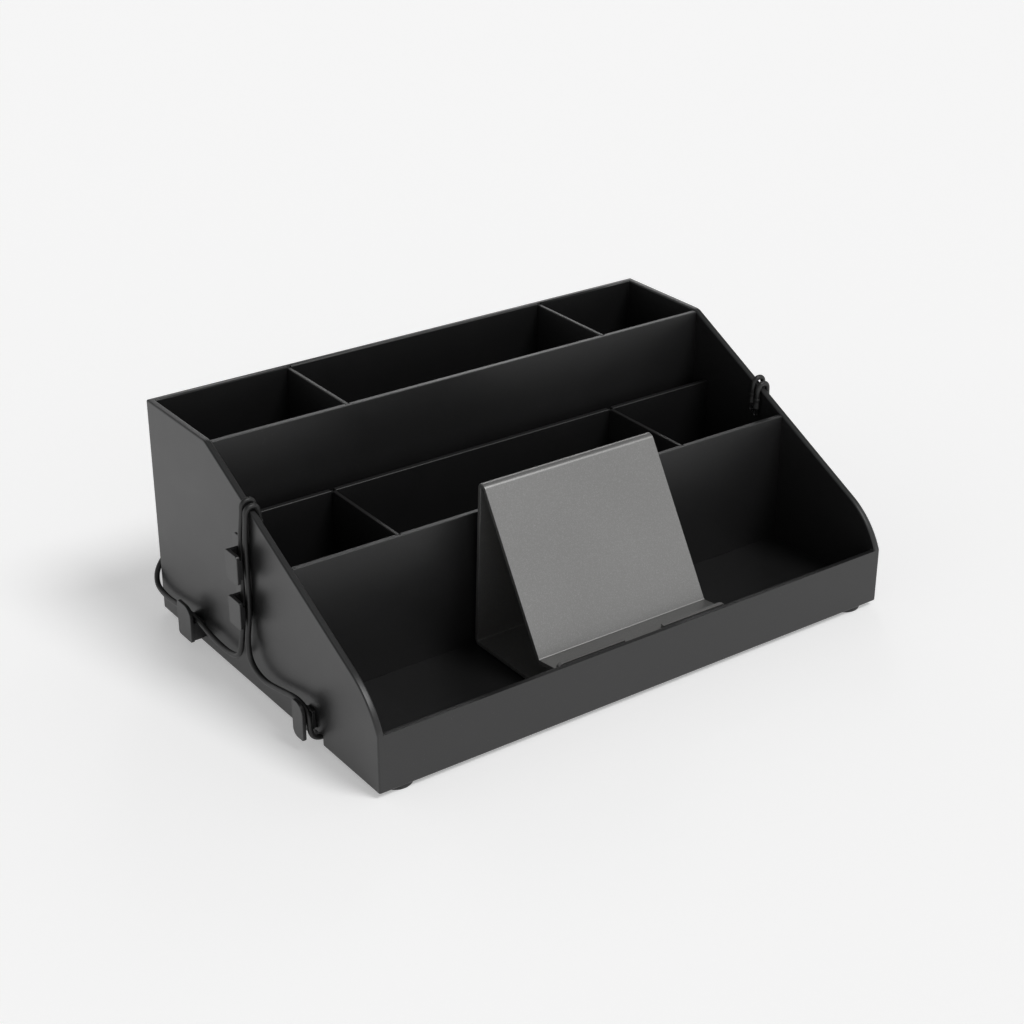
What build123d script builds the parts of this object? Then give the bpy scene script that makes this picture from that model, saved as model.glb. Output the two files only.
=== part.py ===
"""A stepped desk organizer: slotted panels, lift-out dividers, a phone stand and clipped leads."""

import os
from math import cos, hypot, pi, radians, sin, tan

from build123d import *

# Frame: X to the right, the front faces -Y, Z up from the desk. All lengths are in
# millimetres. The tray is modelled with its middle at Y = 0, and save() then moves every
# node back by row_shift, so that the origin lies below the middle of the overall outline,
# which the clips on the back panel make deeper than the tray.

# Driving dimensions of the body
width = 350.0  # over the side panels
depth = 240.0  # front face to back face
top_height = 137.0  # top of the back panel and of the level part of the sides
foot_gap = 3.0  # the panels' lower edges stand this far off the desk
floor_under = 9.0  # underside of the floor panel above the desk
floor_t = 3.0
side_t = 4.0
back_t = 4.0
front_t = 3.5
front_height = 37.3  # top of the front wall
partition_t = 3.2
divider_t = 2.4
groove = 1.2  # depth of the grooves that take panel ends
tongue_stop = 4.0  # a partition's end tongues, and their grooves, stop this far below its top
fit = 0.1  # clearance of a bonded panel in its groove
slide_fit = 0.25  # clearance of a lift-out divider in its groove

# Side outline: level, then a straight slope, then a rounded nose down to the front wall
slope_start = 50.0  # y where the level top ends
nose_start = (-96.0, 63.0)  # y, z where the slope meets the nose's arc
bend_r = 9.0

# Partitions: middle of the panel in y, and its top edge
rear_partition_y, rear_partition_top = 50.0, 136.0
middle_partition_y, middle_partition_top = 36.0, 94.0
front_partition_y, front_partition_top = -33.0, 94.0

# Dividers: middle of the sheet in x
rear_left_x, rear_right_x = -84.5, 98.0
middle_left_x, bay_x = -105.0, 93.0
hook_depth = 20.0  # half-lap slot of a middle divider, down from the partition's top
hook_drop = 1.2  # the divider's hook stays this far below the partition's top

# Phone stand, one bent sheet: outer corners of its side outline
stand_w = 117.0
stand_t = 2.5
stand_heel = (-97.6, 31.2)  # y, z where the plate's face meets the ledge
stand_brow = (-47.0, 114.5)  # y, z of the plate's upper front corner
stand_crown = (-40.8, 117.6)  # y, z of the top fold's rear corner
stand_leg_foot_y = -36.4  # rear face of the leg at the tray floor
stand_toe_y = -106.0  # front end of the flange on the tray floor
ledge_len, ledge_rise = 15.0, 7.0  # ledge length and its rise in degrees
lip_h = 4.2
cable_gap = 27.0  # notch in the ledge between the two lips
strip_h = 1.0  # rubber strips under the stand

# Feet: a wide pad below the panels' edges and a narrower stem up to the floor panel
foot_pad_r, foot_pad_h, foot_stem_r = 9.5, 2.8, 6.5
foot_x, foot_front_y, foot_rear_y = 159.0, -109.5, 108.0

# Leads and the clips that hold them
lead_d = 3.2
pad_t = 0.8
clip_base_t = 1.5
clip_plate_t = 2.2
clip_depth = 9.7  # panel face to the clip's outer face
lead_off = 4.9  # panel face to the lead's middle inside a clip
twin_span = (44.0, 96.0)  # z of the twin clip's base strip
twin_hooks = ((44.5, 61.5), (72.0, 89.5))  # z of its two hooks
twin_y = (2.0, 15.0)  # the left twin clip's hooks, front to back
twin_base_y = (13.0, 19.5)  # its base strip lies behind the leads
twin_shift = -19.3  # the right twin clip sits this far nearer the front
corner_clip_z = (7.0, 29.0)
rear_clip_y = (65.0, 81.0)
rear_block_y, rear_block_top = (66.5, 80.0), 18.8  # the block under the lead
front_clip_y = (-60.8, -50.0)
front_base_y, front_base_z = (-58.0, -50.0), (10.2, 22.0)
front_web_top = 18.5
pad_inset = 0.6  # a foam pad is this much smaller than its clip's base all round
back_clip_x = (-100.0, 0.0, 100.0)
back_clip_z = (44.0, 62.0)
back_lead_z = 48.0
under_lead_z = 6.0
notch_w, notch_top = 8.0, 9.0
front_lead_y = -60.0
saddle_x = (-110.0, 0.0, 110.0)
boot_r, boot_h = 1.95, 7.0  # moulded sleeve on a lead's end
barrel_r, barrel_h = 1.5, 5.0  # and the metal barrel below it

# Angles under the floor and their screws
angle_leg, angle_t = 14.0, 2.0
angle_y = (-45.0, 100.0)
angle_screw_y = (-30.0, 28.0, 86.0)
screw_r, screw_head_r, screw_head_h = 1.3, 2.6, 1.6
screw_bite = 2.4  # length of thread in the floor panel

half_w, half_d = width / 2, depth / 2
row_shift = -clip_depth / 2
floor_top = floor_under + floor_t
inner_x = half_w - side_t
inner_back = half_d - back_t
inner_front = -half_d + front_t

os.makedirs("parts", exist_ok=True)


def box(x, y, z):
    """A box given by its lowest and highest value along each axis."""
    size = (x[1] - x[0], y[1] - y[0], z[1] - z[0])
    place = ((x[0] + x[1]) / 2, (y[0] + y[1]) / 2, (z[0] + z[1]) / 2)
    return Pos(*place) * Box(*size)


def prism_x(outline, x):
    """A closed outline of (y, z) corners, pulled along X from x[0] to x[1]."""
    face = make_face(Polyline(*[(x[0], y, z) for y, z in outline], close=True))
    return extrude(face, x[1] - x[0], dir=(1, 0, 0))


def prism_z(outline, z):
    """A closed outline of (x, y) corners, pulled along Z from z[0] to z[1]."""
    face = make_face(Polyline(*[(x, y, z[0]) for x, y in outline], close=True))
    return extrude(face, z[1] - z[0], dir=(0, 0, 1))


def flip_x(shape):
    return mirror(shape, about=Plane.YZ)


def save(shape, name):
    """Writes one node, as one solid or as a group of separate solids."""
    solids = (Pos(0, row_shift, 0) * shape).solids()
    whole = solids[0] if len(solids) == 1 else Compound(children=list(solids))
    whole.label = name
    export_step(whole, f"parts/{name}.step")
    print(name, len(solids), round(sum(s.volume for s in solids), 1))


# Body panels


def side_outline():
    """The left side panel's outline in Y and Z, as a face at x = 0."""
    bottom_back = (0, half_d, foot_gap)
    top_back = (0, half_d, top_height)
    bend = (0, slope_start, top_height)
    nose = (0, *nose_start)
    nose_end = (0, -half_d, front_height)
    bottom_front = (0, -half_d, foot_gap)
    slope_dir = Vector(nose) - Vector(bend)
    edges = [
        Line(bottom_back, top_back),
        FilletPolyline(top_back, bend, nose, radius=bend_r),
        TangentArc(nose, nose_end, tangent=slope_dir),
        Polyline(nose_end, bottom_front, bottom_back),
    ]
    return make_face(Wire([e for part in edges for e in part.edges()]))


def panel_grooves():
    """Boxes that cut the grooves in the left side panel's inner face."""
    x = (-inner_x - groove, -inner_x + 1)
    grow = fit
    cuts = []
    for y, top in (
        (rear_partition_y, rear_partition_top),
        (middle_partition_y, middle_partition_top),
        (front_partition_y, front_partition_top),
    ):
        half = partition_t / 2 + grow
        cuts.append(box(x, (y - half, y + half), (floor_top - 0.5, top - tongue_stop + grow)))
    cuts.append(box(x, (inner_front, inner_back), (floor_under - grow, floor_top + grow)))
    return cuts


def side_panel():
    """The left side panel, mitred to the front wall and the back panel."""
    panel = extrude(side_outline(), side_t, dir=(1, 0, 0))
    panel = Pos(-half_w, 0, 0) * panel
    front_mitre = [(-half_w, -half_d), (-inner_x, inner_front), (-inner_x, -half_d)]
    back_mitre = [(-half_w, half_d), (-inner_x, inner_back), (-inner_x, half_d)]
    panel -= prism_z(front_mitre, (foot_gap - 1, front_height))
    panel -= prism_z(back_mitre, (foot_gap - 1, top_height + 1))
    for cut in panel_grooves():
        panel -= cut
    notch_y = (front_lead_y - notch_w / 2, front_lead_y + notch_w / 2)
    panel -= box((-half_w - 1, -inner_x + 1), notch_y, (0, notch_top))
    return panel


def front_wall():
    plan = [
        (-half_w, -half_d),
        (half_w, -half_d),
        (inner_x, inner_front),
        (-inner_x, inner_front),
    ]
    return prism_z(plan, (foot_gap, front_height))


def back_panel():
    plan = [
        (-half_w, half_d),
        (half_w, half_d),
        (inner_x, inner_back),
        (-inner_x, inner_back),
    ]
    panel = prism_z(plan, (foot_gap, top_height))
    for x in (rear_left_x, rear_right_x):
        panel -= divider_groove(x, inner_back, inner_back + groove)
    return panel


def floor_panel():
    reach = inner_x + groove - fit
    panel = box((-reach, reach), (inner_front, inner_back), (floor_under, floor_top))
    for y in (rear_partition_y, middle_partition_y, front_partition_y):
        for x in tab_places():
            panel -= tab(x, y, fit)
    for side in (-1, 1):
        x = side * (inner_x - angle_leg / 2)
        for y in angle_screw_y:
            hole = Cylinder(screw_r + 0.05, screw_bite + 0.1)
            panel -= Pos(x, y, floor_under + (screw_bite + 0.1) / 2) * hole
    return panel


def tab_places():
    return [-125.0, -15.0, 125.0]


def tab(x, y, grow):
    """A partition's foot tab that fills a slot in the floor panel."""
    half_t = partition_t / 2 + grow
    z = (floor_under, floor_top)
    return box((x - 9 - grow, x + 9 + grow), (y - half_t, y + half_t), z)


def divider_groove(x, y0, y1):
    """The open-topped groove that a divider's end slides in."""
    half = divider_t / 2 + slide_fit
    return box((x - half, x + half), (y0, y1), (floor_top, top_height + 1))


def partition(y, top):
    reach = inner_x + groove - fit
    half = partition_t / 2
    panel = box((-inner_x, inner_x), (y - half, y + half), (floor_top, top))
    panel += box((-reach, reach), (y - half, y + half), (floor_top, top - tongue_stop))
    for x in tab_places():
        panel += tab(x, y, 0)
    return panel


def rear_partition():
    panel = partition(rear_partition_y, rear_partition_top)
    face = rear_partition_y + partition_t / 2
    for x in (rear_left_x, rear_right_x):
        panel -= divider_groove(x, face - groove, face)
    return panel


def middle_partition():
    panel = partition(middle_partition_y, middle_partition_top)
    half = divider_t / 2 + slide_fit
    y = (middle_partition_y - partition_t, middle_partition_y + partition_t)
    z = (middle_partition_top - hook_depth, middle_partition_top + 1)
    for x in (middle_left_x, bay_x):
        panel -= box((x - half, x + half), y, z)
    return panel


def front_partition():
    panel = partition(front_partition_y, front_partition_top)
    face = front_partition_y + partition_t / 2
    for x in (middle_left_x, bay_x):
        panel -= divider_groove(x, face - groove, face)
    return panel


# Lift-out dividers


def divider_sheet(x, y, top):
    half = divider_t / 2
    z = (floor_top + slide_fit, top)
    return box((x - half, x + half), y, z)


def rear_divider(x):
    """A sheet whose two ends slide in the back panel and the rear partition."""
    tongue = groove - slide_fit
    y = (rear_partition_y + partition_t / 2 - tongue, inner_back + tongue)
    sheet = divider_sheet(x, y, rear_partition_top)
    return eased(sheet)


def middle_divider(x):
    """A sheet with a tongue at the front and a hook over the middle partition at the rear."""
    tongue = groove - slide_fit
    front = front_partition_y + partition_t / 2 - tongue
    rear = middle_partition_y - partition_t / 2 - slide_fit
    sheet = divider_sheet(x, (front, rear), middle_partition_top)
    half = divider_t / 2
    hook_z = (middle_partition_top - hook_depth + slide_fit, middle_partition_top - hook_drop)
    hook_y = (rear - 1, middle_partition_y + partition_t / 2)
    return eased(sheet + box((x - half, x + half), hook_y, hook_z))


def eased(sheet):
    """Rounds the two long top edges of a sheet."""
    top = sheet.faces().sort_by(Axis.Z)[-1]
    along = [e for e in top.edges() if abs(e.tangent_at(0.5).Y) > 0.9]
    return fillet(along, 0.6)


# Phone stand


def stand_path():
    """Outer corners of the bent sheet in Y and Z, from the toe of the flange to the lip."""
    base = floor_top + strip_h
    ledge = radians(ledge_rise)
    ledge_end = (
        stand_heel[0] - ledge_len * cos(ledge),
        stand_heel[1] + ledge_len * sin(ledge),
    )
    lip_end = (ledge_end[0] - 0.4, ledge_end[1] + lip_h)
    return [
        (stand_toe_y, base),
        (stand_leg_foot_y, base),
        stand_crown,
        stand_brow,
        stand_heel,
        ledge_end,
        lip_end,
    ]


def stand_outline():
    """The sheet's closed side outline: the outer corners, then the inner ones back again."""
    outer = stand_path()
    inner = []
    for i, corner in enumerate(outer):
        if i == 0:
            inner.append((corner[0], corner[1] + stand_t))
        elif i == len(outer) - 1:
            inner.append((corner[0] - stand_t, corner[1]))
        else:
            inner.append(sheet_side(outer[i - 1], corner, outer[i + 1]))
    return outer, inner


def sheet_side(before, corner, after):
    """Where the sheet's other face turns, on the left of the path."""
    u = Vector(corner[0] - before[0], corner[1] - before[1]).normalized()
    v = Vector(after[0] - corner[0], after[1] - corner[1]).normalized()
    n = Vector(-u.Y, u.X)
    m = Vector(-v.Y, v.X)
    bisector = (n + m).normalized()
    reach = stand_t / bisector.dot(n)
    return (corner[0] + bisector.X * reach, corner[1] + bisector.Y * reach)


def phone_stand():
    outer, inner = stand_outline()
    outline = outer + inner[::-1]
    half = stand_w / 2
    sheet = prism_x(outline, (-half, half))
    folds = [corner for corner in outer[1:-1] + inner[1:-1]]
    edges = []
    for e in sheet.edges():
        mid = e.center()
        if abs(mid.X) > 0.01:
            continue
        near = [c for c in folds if hypot(mid.Y - c[0], mid.Z - c[1]) < 0.01]
        if near:
            edges.append(e)
    sheet = fillet(edges, 0.9)
    ledge_end = outer[5]
    gap_y = (ledge_end[0] - 5, stand_heel[0] - 1.5)
    gap_z = (stand_heel[1] - 4, ledge_end[1] + lip_h + 2)
    return sheet - box((-cable_gap / 2, cable_gap / 2), gap_y, gap_z)


def stand_strips():
    """Two rubber strips that the stand's flange rests on."""
    z = (floor_top, floor_top + strip_h)
    half = stand_w / 2 - 6
    front = box((-half, half), (stand_toe_y + 4, stand_toe_y + 12), z)
    rear = box((-half, half), (stand_leg_foot_y - 14, stand_leg_foot_y - 6), z)
    return front + rear


# Feet


def rubber_foot(x, y):
    """A round rubber foot with a rounded lower rim and a shallow dish in its underside."""
    low = (Align.CENTER, Align.CENTER, Align.MIN)
    pad = Cylinder(foot_pad_r, foot_pad_h, align=low)
    pad = fillet(pad.edges().sort_by(Axis.Z)[0], 1.0)
    dish = Cylinder(foot_pad_r - 4, 0.8, align=low)
    stem = Cylinder(foot_stem_r, floor_under - foot_pad_h, align=low)
    return Pos(x, y, 0) * (pad - dish + Pos(0, 0, foot_pad_h) * stem)


# Cable clips. Each is made on the left side, in front of the face at x = -half_w.


def slab(inner, outer, y, z):
    """A box between two distances out from the left side panel's outer face."""
    return box((-half_w - outer, -half_w - inner), y, z)


def round_x(shape, y, z, radius):
    """Rounds the edges that run along X through the corner at y, z."""
    edges = [
        e
        for e in shape.edges()
        if abs(e.tangent_at(0.5).X) > 0.9
        and hypot(e.center().Y - y, e.center().Z - z) < 0.01
    ]
    return fillet(edges, radius)


def twin_clip():
    """A base strip with two hooks that open towards the front."""
    y0, y1 = twin_y
    clip = slab(pad_t, pad_t + clip_base_t, twin_base_y, twin_span)
    for z in twin_span:
        clip = round_x(clip, twin_base_y[1], z, 3.0)
    for z in twin_hooks:
        plate = slab(clip_depth - clip_plate_t, clip_depth, (y0, y1), z)
        plate = round_x(plate, y0, z[1], 2.0)
        plate = round_x(plate, y0, z[0], 2.0)
        web = slab(pad_t + 0.5, clip_depth - 0.5, (y1 - 2.0, y1), z)
        lip = slab(clip_depth - clip_plate_t - 1.0, clip_depth - 1, (y0, y0 + 1.2), (z[0] + 3, z[1] - 3))
        clip = clip + plate + web + lip
    return clip


def corner_clip_plate(y, z, heel_r):
    """The clip's outer plate, with its upper front corner well rounded."""
    plate = slab(clip_depth - clip_plate_t, clip_depth, y, z)
    plate = round_x(plate, y[0], z[1], 6.5)
    plate = round_x(plate, y[1], z[1], 2.0)
    plate = round_x(plate, y[0], z[0], 1.5)
    return round_x(plate, y[1], z[0], heel_r)


def rear_clip():
    """A hook open above: a block under the lead joins its outer plate to the panel."""
    block = slab(pad_t, clip_depth - 0.5, rear_block_y, (corner_clip_z[0], rear_block_top))
    return block + corner_clip_plate(rear_clip_y, corner_clip_z, 2.0)


def front_clip():
    """A hook whose web is low at the rear, for a lead that comes in above it and turns down."""
    base = slab(pad_t, pad_t + clip_base_t, front_base_y, front_base_z)
    web_y = (front_clip_y[1] - 2.0, front_clip_y[1])
    web = slab(pad_t + 0.5, clip_depth - 0.5, web_y, (front_base_z[0], front_web_top))
    return base + web + corner_clip_plate(front_clip_y, corner_clip_z, 4.5)


def back_clip(x):
    """The same upward-opening hook on the back panel, its lead running left to right."""
    out0, out1 = half_d + pad_t, half_d + clip_depth
    xs = (x - 8, x + 8)
    z = back_clip_z
    base = box(xs, (out0, out0 + clip_base_t), (z[0], z[1] - 1))
    plate = box(xs, (out1 - clip_plate_t, out1), z)
    top = [
        e
        for e in plate.edges()
        if abs(e.tangent_at(0.5).Y) > 0.9 and e.center().Z > z[1] - 0.01
    ]
    plate = fillet(top, 5.0)
    web = box((xs[0] + 1.5, xs[1] - 1.5), (out0 + 0.5, out1 - 0.5), (z[0], z[0] + 2.2))
    return base + web + plate


def inset(span):
    return (span[0] + pad_inset, span[1] - pad_inset)


def side_pads(shift):
    """Foam pads that fix the left clips; shift moves the twin clip's pad along Y."""
    twin_pad_y = [y + shift for y in inset(twin_base_y)]
    twin = slab(0, pad_t, twin_pad_y, inset((twin_span[0] + 2.0, twin_span[1] - 2.0)))
    rear = slab(0, pad_t, inset(rear_block_y), inset((corner_clip_z[0], rear_block_top)))
    front = slab(0, pad_t, inset(front_base_y), inset(front_base_z))
    return [twin, rear, front]


def back_pads():
    z = (back_clip_z[0] + 0.6, back_clip_z[1] - 1.6)
    return [box((x - 7.4, x + 7.4), (half_d, half_d + pad_t), z) for x in back_clip_x]


def under_saddle(x):
    """A strap under the floor panel that carries the front lead."""
    half = 4.0
    r = lead_d / 2 + 0.3
    z_low = under_lead_z - r - 1.2
    xs = (x - half, x + half)
    block = box(xs, (front_lead_y - 3.1, front_lead_y + 3.1), (z_low, floor_under))
    flange = box(xs, (front_lead_y - 9, front_lead_y + 9), (floor_under - 1.5, floor_under))
    bore = Pos(x, front_lead_y, under_lead_z) * Rot(0, 90, 0) * Cylinder(r, 4 * half)
    return block + flange - bore


# Angles that join the floor panel to the side panels


def base_angle():
    x = (-inner_x, -inner_x + angle_leg)
    level = box(x, angle_y, (floor_under - angle_t, floor_under))
    upright = box((x[0], x[0] + angle_t), angle_y, (foot_gap + 0.5, floor_under))
    angle = level + upright
    for y in angle_screw_y:
        hole = Cylinder(screw_r + 0.2, 3 * angle_t)
        angle -= Pos(-inner_x + angle_leg / 2, y, floor_under - angle_t / 2) * hole
    return angle


def base_screw(x, y):
    """A pan-head screw that comes up through an angle into the floor panel."""
    low = floor_under - angle_t - screw_head_h
    head = Cylinder(screw_head_r, screw_head_h, align=(Align.CENTER, Align.CENTER, Align.MIN))
    head = fillet(head.edges().sort_by(Axis.Z)[0], 0.6)
    length = screw_head_h + angle_t + screw_bite
    shank = Cylinder(screw_r, length, align=(Align.CENTER, Align.CENTER, Align.MIN))
    cross = Box(3.0, 0.7, 1.6) + Box(0.7, 3.0, 1.6)
    return Pos(x, y, low) * (head + shank - cross)


# Leads


def corner_radii(points, tight):
    """Arc radii for a route: 0.45 of the shorter run, unless the corner is held tight."""
    radii = []
    for i in range(1, len(points) - 1):
        before = Vector(*points[i]) - Vector(*points[i - 1])
        after = Vector(*points[i + 1]) - Vector(*points[i])
        turn = radians(before.get_angle(after))
        free = 0.45 * min(before.length, after.length) / tan(turn / 2)
        radii.append(min(free, tight.get(i, free)))
    return radii


def lead(name, points, tight):
    """A round lead along straight runs joined by tangent arcs."""
    radii = corner_radii(points, tight)
    path = FilletPolyline(*points, radius=radii)
    start = Plane(origin=path @ 0, z_dir=path % 0)
    tube = sweep(start * Circle(lead_d / 2), path=path, transition=Transition.ROUND)
    section = pi * (lead_d / 2) ** 2
    print(name, "radii", [round(r, 1) for r in radii])
    ratio = tube.volume / section / path.length
    print(name, "length", round(path.length, 1), "volume ratio", round(ratio, 4))
    return tube


tail_x = inner_x - boot_r - 0.1  # a lead's end hangs close inside the side panel
rise_x = half_w + lead_d / 2 + 0.3  # and comes up close to the panel's outer face
strand_x = rise_x + 0.4  # inside the twin clip
clip_x = half_w + lead_off
back_y = half_d + lead_off
tail_len = 9.0  # from the crossing's height down to the plug
strand_drop = 23.0  # from the crossing's height down to the straight strand in the twin clip
strand_low = 52.0  # where the strand leaves the panel's face

# For the left and the right side: y and z where a lead crosses the side panel's edge, and
# y of its strand
rear_crossings = {"left": (7.2, 118.2, 10.8), "right": (-9.6, 110.4, -8.5)}
front_crossings = {"left": (3.2, 116.2, 5.3), "right": (-13.6, 107.7, -14.4)}


def over_edge(y, z, strand_y):
    """From a hanging end over a side panel's top edge and down to the foot of the twin clip."""
    lean = strand_y - y
    return [
        (tail_x, y, z - tail_len),
        (tail_x, y, z),
        (rise_x, y, z),
        (rise_x + 0.1, y + 0.15 * lean, z - 8.0),
        (strand_x, strand_y, z - strand_drop),
        (strand_x, strand_y, strand_low),
        (clip_x, strand_y, 34.0),
    ]


# From the twin clip's foot past the rear clip and round the corner of the back panel
round_back = [
    (clip_x - 0.3, 100.0, 18.5),
    (178.9, 112.0, 18.2),
    (178.4, 119.5, 20.5),
    (175.8, 123.4, 27.5),
    (168.0, back_y - 0.2, 36.0),
    (150.0, back_y, 44.0),
    (125.0, back_y, back_lead_z),
]
rear_left_run = [
    (clip_x, 15.5, 20.5),
    (clip_x, 29.5, 17.0),
    (clip_x, 48.0, 17.8),
    (clip_x, 65.0, 21.5),
    (clip_x, 84.0, 21.0),
]
rear_right_run = [
    (clip_x, -3.8, 21.0),
    (clip_x, 10.0, 17.0),
    (clip_x, 30.0, 18.2),
    (clip_x, 65.0, 21.5),
    (clip_x, 84.0, 21.0),
]
# From the twin clip's foot to the front clip and down to the notch under the side panel
front_left_run = [
    (clip_x, 2.0, 22.5),
    (clip_x, -12.0, 18.2),
    (clip_x, -32.0, 22.3),
    (clip_x, -49.0, 26.0),
]
front_right_run = [
    (clip_x, -17.3, 21.5),
    (clip_x, -29.0, 19.0),
    (clip_x, -49.0, 26.0),
]
turn_under = [
    (clip_x, front_lead_y, 22.5),
    (clip_x, front_lead_y, under_lead_z),
]


def joined(left, right):
    """One route from a left half and a right half, both given as if on the right side."""
    return [(-x, y, z) for x, y, z in left] + right[::-1]


def arch_radii(count, more={}):
    """Tight corners where a lead folds over the side panels' edges, and any more."""
    tight = {i: 4.0 for i in (1, 2, count - 2, count - 3)}
    return tight | more


def rear_lead():
    left = over_edge(*rear_crossings["left"]) + rear_left_run + round_back
    right = over_edge(*rear_crossings["right"]) + rear_right_run + round_back
    points = joined(left, right)
    return lead("rear_lead", points, arch_radii(len(points)))


def front_lead():
    left = over_edge(*front_crossings["left"]) + front_left_run + turn_under
    right = over_edge(*front_crossings["right"]) + front_right_run + turn_under
    points = joined(left, right)
    turn = len(left) - 1
    return lead("front_lead", points, arch_radii(len(points), {turn: 4.5, turn + 1: 4.5}))


def plug_boot(x, y, top):
    """The moulded sleeve on a lead's hanging end."""
    down = (Align.CENTER, Align.CENTER, Align.MAX)
    return Pos(x, y, top) * fillet(Cylinder(boot_r, boot_h, align=down).edges(), 0.5)


def plug_barrel(x, y, top):
    """The metal barrel below the sleeve."""
    barrel = Cylinder(barrel_r, barrel_h, align=(Align.CENTER, Align.CENTER, Align.MAX))
    barrel = fillet(barrel.edges().sort_by(Axis.Z)[0], 0.6)
    return Pos(x, y, top - boot_h) * barrel


save(side_panel(), "left_side_panel")
save(flip_x(side_panel()), "right_side_panel")
save(front_wall(), "front_wall")
save(back_panel(), "back_panel")
save(floor_panel(), "floor_panel")
save(rear_partition(), "rear_partition")
save(middle_partition(), "middle_partition")
save(front_partition(), "front_partition")
save(rear_divider(rear_left_x), "rear_left_divider")
save(rear_divider(rear_right_x), "rear_right_divider")
save(middle_divider(middle_left_x), "middle_left_divider")
save(middle_divider(bay_x), "bay_divider")
save(phone_stand(), "phone_stand")
save(stand_strips(), "stand_strips")

save(rubber_foot(-foot_x, foot_front_y), "foot_front_left")
save(rubber_foot(foot_x, foot_front_y), "foot_front_right")
save(rubber_foot(-foot_x, foot_rear_y), "foot_rear_left")
save(rubber_foot(foot_x, foot_rear_y), "foot_rear_right")

save(twin_clip(), "left_twin_clip")
save(rear_clip(), "left_rear_clip")
save(front_clip(), "left_front_clip")
save(flip_x(Pos(0, twin_shift, 0) * twin_clip()), "right_twin_clip")
save(flip_x(rear_clip()), "right_rear_clip")
save(flip_x(front_clip()), "right_front_clip")
for place, x in zip(("left", "middle", "right"), back_clip_x):
    save(back_clip(x), f"back_{place}_clip")
save(Compound(children=side_pads(0)), "left_clip_pads")
save(Compound(children=[flip_x(p) for p in side_pads(twin_shift)]), "right_clip_pads")
save(Compound(children=back_pads()), "back_clip_pads")
save(Compound(children=[under_saddle(x) for x in saddle_x]), "under_saddles")

save(base_angle(), "left_base_angle")
save(flip_x(base_angle()), "right_base_angle")
screws = [
    base_screw(side * (inner_x - angle_leg / 2), y)
    for side in (-1, 1)
    for y in angle_screw_y
]
save(Compound(children=screws), "base_screws")

save(rear_lead(), "rear_lead")
save(front_lead(), "front_lead")
for lead_name, crossings in (("rear_lead", rear_crossings), ("front_lead", front_crossings)):
    for side, (y, z, _) in crossings.items():
        end = (-tail_x if side == "left" else tail_x, y, z - tail_len)
        save(plug_boot(*end), f"{lead_name}_{side}_boot")
        save(plug_barrel(*end), f"{lead_name}_{side}_barrel")
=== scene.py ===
import math
import bmesh
import bpy
from mathutils import Matrix, Vector


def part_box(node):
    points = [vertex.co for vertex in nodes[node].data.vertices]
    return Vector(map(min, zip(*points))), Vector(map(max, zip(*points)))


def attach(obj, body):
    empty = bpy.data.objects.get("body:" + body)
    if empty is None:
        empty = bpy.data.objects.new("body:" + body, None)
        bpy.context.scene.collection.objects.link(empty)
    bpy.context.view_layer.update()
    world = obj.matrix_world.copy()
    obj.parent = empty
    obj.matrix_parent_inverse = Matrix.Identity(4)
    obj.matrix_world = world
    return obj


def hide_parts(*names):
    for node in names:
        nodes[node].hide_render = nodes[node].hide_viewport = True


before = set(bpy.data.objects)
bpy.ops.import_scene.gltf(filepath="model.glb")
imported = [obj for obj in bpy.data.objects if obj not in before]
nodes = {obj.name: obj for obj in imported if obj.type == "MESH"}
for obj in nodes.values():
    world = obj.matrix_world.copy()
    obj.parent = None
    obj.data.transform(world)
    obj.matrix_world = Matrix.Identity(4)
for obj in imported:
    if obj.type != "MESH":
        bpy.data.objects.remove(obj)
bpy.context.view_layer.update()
mm = 0.001
rowShift = -4.85  # the tray's middle lies this far behind the origin, in millimetres
print("frame: the packed tray is loaded")


# shader tools

class Wire:
    # a shader socket that can be used in sums
    def __init__(self, finish, socket):
        self.finish = finish
        self.socket = socket

    def math(self, operation, first, second=0.0):
        return self.finish.node("Math", {"operation": operation}, {0: first, 1: second})

    def __add__(self, other):
        return self.math("ADD", self, other)

    def __radd__(self, other):
        return self.math("ADD", other, self)

    def __sub__(self, other):
        return self.math("SUBTRACT", self, other)

    def __rsub__(self, other):
        return self.math("SUBTRACT", other, self)

    def __mul__(self, other):
        return self.math("MULTIPLY", self, other)

    def __rmul__(self, other):
        return self.math("MULTIPLY", other, self)

    def above(self, level):
        return self.math("GREATER_THAN", self, level)


class NodeDesk:
    # adds nodes to one tree
    def __init__(self, tree):
        self.tree = tree

    def feed(self, socket, value):
        if isinstance(value, Wire):
            self.tree.links.new(value.socket, socket)
        else:
            socket.default_value = value

    def node(self, kind, settings, sockets, out=0):
        made = self.tree.nodes.new("ShaderNode" + kind)
        for key, value in settings.items():
            if key == "stops":
                ramp = made.color_ramp
                for place, tone in value[2:]:
                    ramp.elements.new(place)
                for stop, (place, tone) in zip(ramp.elements, sorted(value)):
                    stop.position = place
                    stop.color = (tone, tone, tone, 1)
            else:
                setattr(made, key, value)
        for key, value in sockets.items():
            self.feed(made.inputs[key], value)
        return Wire(self, made.outputs[out])


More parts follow.
